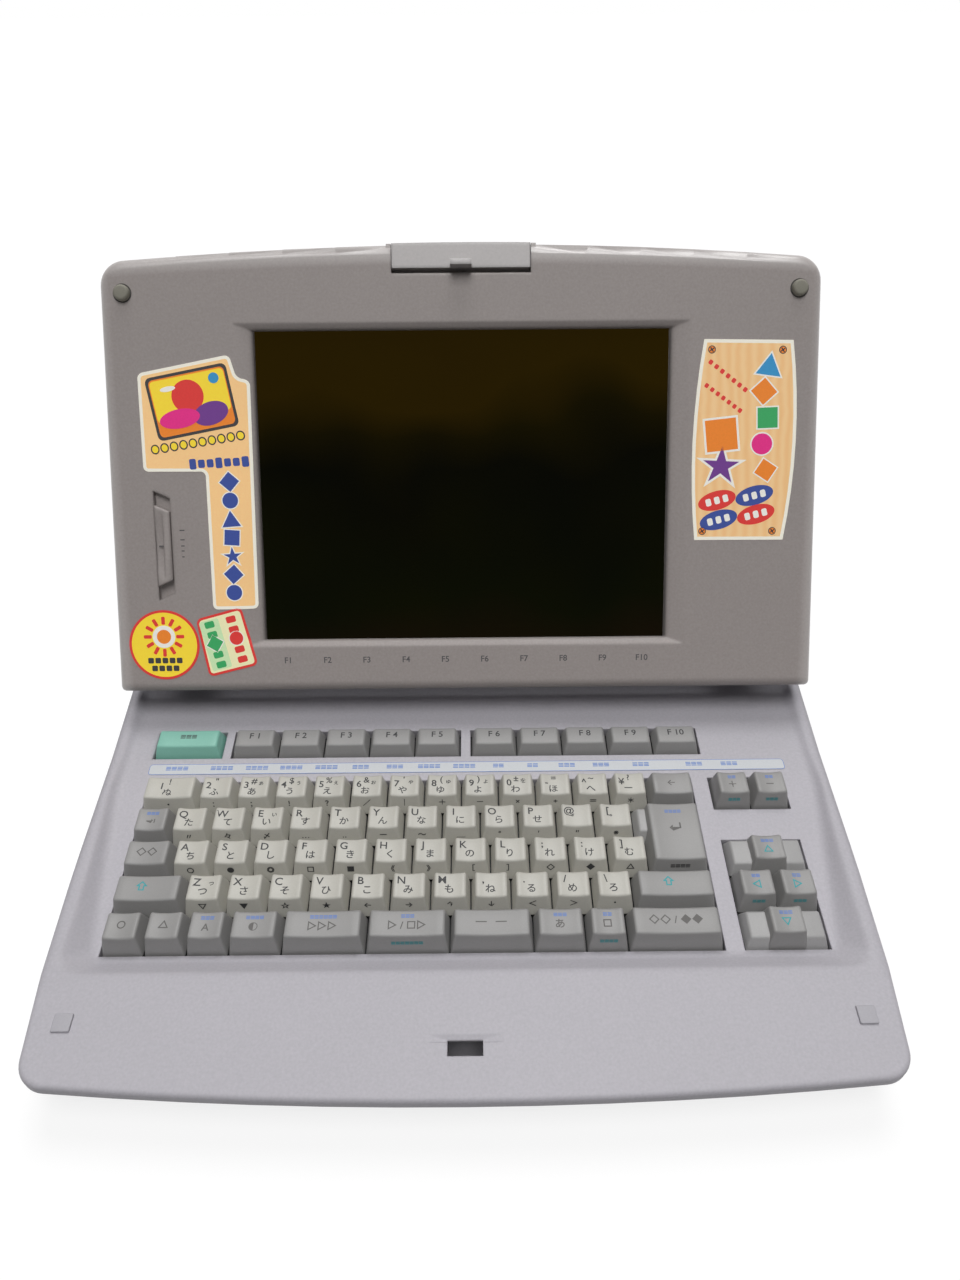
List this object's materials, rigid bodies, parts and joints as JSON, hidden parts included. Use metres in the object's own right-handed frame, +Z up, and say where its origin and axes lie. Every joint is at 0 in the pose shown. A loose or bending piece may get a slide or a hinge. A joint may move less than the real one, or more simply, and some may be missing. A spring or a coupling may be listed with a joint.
{
  "type": "electronic word processor",
  "caption": "Desk word processor with sunk keyboard, hinged screen lid, palm-rest latch, disk drive and thermal printer in the rear housing.",
  "frame": {"origin": "on the table under the middle of the machine, with its lid open as pictured", "axes": "+X to the right of a typing user, +Y away from the user, +Z up"},
  "size_m": [0.3796, 0.3375, 0.2649],
  "materials": {
    "case_plastic": "fine moulded grain, light lavender grey",
    "lid_plastic": "fine moulded grain, warm mid grey",
    "light_key_plastic": "satin, warm off-white",
    "grey_key_plastic": "satin, mid grey",
    "mint_key_plastic": "satin, mint green",
    "bumper_rubber": "matt moulded rubber",
    "black_rubber": "matt moulded rubber",
    "screen_glass": "dark unlit liquid crystal glass",
    "strip_plastic": "printed plastic strip",
    "sticker_paper": "printed coated paper",
    "steel": "zinc-plated sheet and turned steel",
    "chrome_shaft": "ground and polished",
    "motor_metal": "blackened can",
    "board_green": "glass-fibre board",
    "chip_black": "moulded packages",
    "black_plastic": "moulded black",
    "white_nylon": "moulded nylon"
  },
  "bodies": {
    "base": {"upper_case": "case_plastic", "lower_case": "case_plastic", "rubber_feet": "black_rubber", "case_screws": "steel", "key_guide": "black_plastic", "switch_sheet": "black_rubber", "keyboard_backplate": "steel", "main_board": "board_green", "board_chips": "chip_black", "power_supply": "steel", "legend_strip": "strip_plastic", "stop_pads": "case_plastic", "latch_keeper": "steel", "hinge_brackets": "steel", "printer_frame": "steel", "carriage_rail": "chrome_shaft", "drive_belt": "black_rubber", "feed_motor": "motor_metal", "carriage_motor": "motor_metal", "power_inlet": "black_plastic", "floppy_drive": "black_plastic"},
    "lid": {"lid_bezel": "lid_plastic", "lid_back_shell": "lid_plastic", "lcd_panel": "screen_glass", "lid_bumpers": "bumper_rubber", "lid_stickers": "sticker_paper", "hinge_pins": "steel"},
    "latch": {"latch_bar": "lid_plastic"},
    "contrast_slider": {"contrast_knob": "lid_plastic"},
    "printer_flap": {"printer_cover": "case_plastic"},
    "platen": {"platen_shaft": "chrome_shaft", "platen_roller": "black_rubber", "platen_gear": "white_nylon", "platen_knob": "case_plastic"},
    "feed_pinion": {"motor_pinion": "white_nylon"},
    "carriage": {"print_carriage": "black_plastic", "print_head": "steel", "ribbon_cassette": "white_nylon"},
    "belt_drive_pulley": {"drive_pulley": "white_nylon"},
    "belt_idler_pulley": {"idler_pulley": "white_nylon"},
    "disk_eject": {"eject_button": "grey_key_plastic"},
    "power_thumb": {"power_slider": "black_plastic"},
    "number_keys_body": {"number_keys": "light_key_plastic"},
    "upper_letter_keys_body": {"upper_letter_keys": "light_key_plastic"},
    "home_letter_keys_body": {"home_letter_keys": "light_key_plastic"},
    "lower_letter_keys_body": {"lower_letter_keys": "light_key_plastic"},
    "bottom_row_keys_body": {"bottom_row_keys": "grey_key_plastic"},
    "space_key_body": {"space_key": "grey_key_plastic"},
    "execute_key_body": {"execute_key": "grey_key_plastic"},
    "left_shift_key_body": {"left_shift_key": "grey_key_plastic"},
    "right_shift_key_body": {"right_shift_key": "grey_key_plastic"},
    "backspace_key_body": {"backspace_key": "grey_key_plastic"},
    "return_key_body": {"return_key": "grey_key_plastic"},
    "edit_keys_body": {"edit_keys": "grey_key_plastic"},
    "up_key_body": {"up_key": "grey_key_plastic"},
    "down_key_body": {"down_key": "grey_key_plastic"},
    "left_key_body": {"left_key": "grey_key_plastic"},
    "right_key_body": {"right_key": "grey_key_plastic"},
    "menu_key_body": {"menu_key": "mint_key_plastic"},
    "function_keys_body": {"function_keys": "grey_key_plastic"}
  },
  "joints": [
    {"name": "lid_hinge", "type": "hinge", "parent": "base", "child": "lid", "pos_m": [-0.0003, 0.05214, 0.07271], "axis": [1, 0, 0], "range_deg": [-6, 126.1]},
    {"name": "latch_slide", "type": "slide", "parent": "lid", "child": "latch", "axis": [0, -0.5015, -0.8652], "range_m": [0, 0.002], "stiffness_N_per_m": 400, "springref_m": -0.005},
    {"name": "contrast_slide", "type": "slide", "parent": "lid", "child": "contrast_slider", "axis": [0, 0.5015, 0.8652], "range_m": [-0.006, 0.006]},
    {"name": "printer_cover_hinge", "type": "hinge", "parent": "base", "child": "printer_flap", "pos_m": [-0.0003, 0.1375, 0.0938], "axis": [1, 0, 0], "range_deg": [-75, 0]},
    {"name": "platen_spin", "type": "hinge", "parent": "base", "child": "platen", "pos_m": [-0.0003, 0.11993, 0.07441], "axis": [1, 0, 0], "continuous": true},
    {"name": "feed_pinion_spin", "type": "hinge", "parent": "base", "child": "feed_pinion", "pos_m": [0.1497, 0.12194, 0.05532], "axis": [1, 0, 0], "continuous": true},
    {"name": "carriage_slide", "type": "slide", "parent": "base", "child": "carriage", "axis": [1, 0, 0], "range_m": [-0.09, 0.09]},
    {"name": "drive_pulley_spin", "type": "hinge", "parent": "base", "child": "belt_drive_pulley", "pos_m": [-0.1223, 0.08708, 0.05688], "axis": [0, -0.1045, 0.9945], "range_deg": [-800, 800]},
    {"name": "idler_pulley_spin", "type": "hinge", "parent": "base", "child": "belt_idler_pulley", "pos_m": [0.1217, 0.08708, 0.05688], "axis": [0, -0.1045, 0.9945], "range_deg": [-800, 800]},
    {"name": "eject_press", "type": "slide", "parent": "base", "child": "disk_eject", "axis": [-1, 0, 0], "range_m": [0, 0.002], "stiffness_N_per_m": 250, "springref_m": -0.003},
    {"name": "power_slide", "type": "slide", "parent": "base", "child": "power_thumb", "axis": [0, 0.9945, 0.1045], "range_m": [-0.002, 0.002]},
    {"name": "number_keys_press", "type": "slide", "parent": "base", "child": "number_keys_body", "axis": [0, 0.1045, -0.9945], "range_m": [0, 0.0032], "stiffness_N_per_m": 1560, "springref_m": -0.0025},
    {"name": "upper_letter_keys_press", "type": "slide", "parent": "base", "child": "upper_letter_keys_body", "axis": [0, 0.1045, -0.9945], "range_m": [0, 0.0032], "stiffness_N_per_m": 1560, "springref_m": -0.0025},
    {"name": "home_letter_keys_press", "type": "slide", "parent": "base", "child": "home_letter_keys_body", "axis": [0, 0.1045, -0.9945], "range_m": [0, 0.0032], "stiffness_N_per_m": 1560, "springref_m": -0.0025},
    {"name": "lower_letter_keys_press", "type": "slide", "parent": "base", "child": "lower_letter_keys_body", "axis": [0, 0.1045, -0.9945], "range_m": [0, 0.0032], "stiffness_N_per_m": 1320, "springref_m": -0.0025},
    {"name": "bottom_row_keys_press", "type": "slide", "parent": "base", "child": "bottom_row_keys_body", "axis": [0, 0.1045, -0.9945], "range_m": [0, 0.0032], "stiffness_N_per_m": 960, "springref_m": -0.0025},
    {"name": "space_key_press", "type": "slide", "parent": "base", "child": "space_key_body", "axis": [0, 0.1045, -0.9945], "range_m": [0, 0.0032], "stiffness_N_per_m": 120, "springref_m": -0.0025},
    {"name": "execute_key_press", "type": "slide", "parent": "base", "child": "execute_key_body", "axis": [0, 0.1045, -0.9945], "range_m": [0, 0.0032], "stiffness_N_per_m": 120, "springref_m": -0.0025},
    {"name": "left_shift_key_press", "type": "slide", "parent": "base", "child": "left_shift_key_body", "axis": [0, 0.1045, -0.9945], "range_m": [0, 0.0032], "stiffness_N_per_m": 120, "springref_m": -0.0025},
    {"name": "right_shift_key_press", "type": "slide", "parent": "base", "child": "right_shift_key_body", "axis": [0, 0.1045, -0.9945], "range_m": [0, 0.0032], "stiffness_N_per_m": 120, "springref_m": -0.0025},
    {"name": "backspace_key_press", "type": "slide", "parent": "base", "child": "backspace_key_body", "axis": [0, 0.1045, -0.9945], "range_m": [0, 0.0032], "stiffness_N_per_m": 120, "springref_m": -0.0025},
    {"name": "return_key_press", "type": "slide", "parent": "base", "child": "return_key_body", "axis": [0, 0.1045, -0.9945], "range_m": [0, 0.0032], "stiffness_N_per_m": 120, "springref_m": -0.0025},
    {"name": "edit_keys_press", "type": "slide", "parent": "base", "child": "edit_keys_body", "axis": [0, 0.1045, -0.9945], "range_m": [0, 0.0032], "stiffness_N_per_m": 240, "springref_m": -0.0025},
    {"name": "up_key_press", "type": "slide", "parent": "base", "child": "up_key_body", "axis": [0, 0.1045, -0.9945], "range_m": [0, 0.0032], "stiffness_N_per_m": 120, "springref_m": -0.0025},
    {"name": "down_key_press", "type": "slide", "parent": "base", "child": "down_key_body", "axis": [0, 0.1045, -0.9945], "range_m": [0, 0.0032], "stiffness_N_per_m": 120, "springref_m": -0.0025},
    {"name": "left_key_press", "type": "slide", "parent": "base", "child": "left_key_body", "axis": [0, 0.1045, -0.9945], "range_m": [0, 0.0032], "stiffness_N_per_m": 120, "springref_m": -0.0025},
    {"name": "right_key_press", "type": "slide", "parent": "base", "child": "right_key_body", "axis": [0, 0.1045, -0.9945], "range_m": [0, 0.0032], "stiffness_N_per_m": 120, "springref_m": -0.0025},
    {"name": "menu_key_press", "type": "slide", "parent": "base", "child": "menu_key_body", "axis": [0, 0.1045, -0.9945], "range_m": [0, 0.0032], "stiffness_N_per_m": 120, "springref_m": -0.0025},
    {"name": "function_keys_press", "type": "slide", "parent": "base", "child": "function_keys_body", "axis": [0, 0.1045, -0.9945], "range_m": [0, 0.0032], "stiffness_N_per_m": 1200, "springref_m": -0.0025}
  ],
  "couplings": [
    {"joint": "feed_pinion_spin", "follows": "platen_spin", "ratio": -3},
    {"joint": "drive_pulley_spin", "follows": "carriage_slide", "rad_per_m": -151.52},
    {"joint": "idler_pulley_spin", "follows": "carriage_slide", "rad_per_m": -151.52}
  ]
}
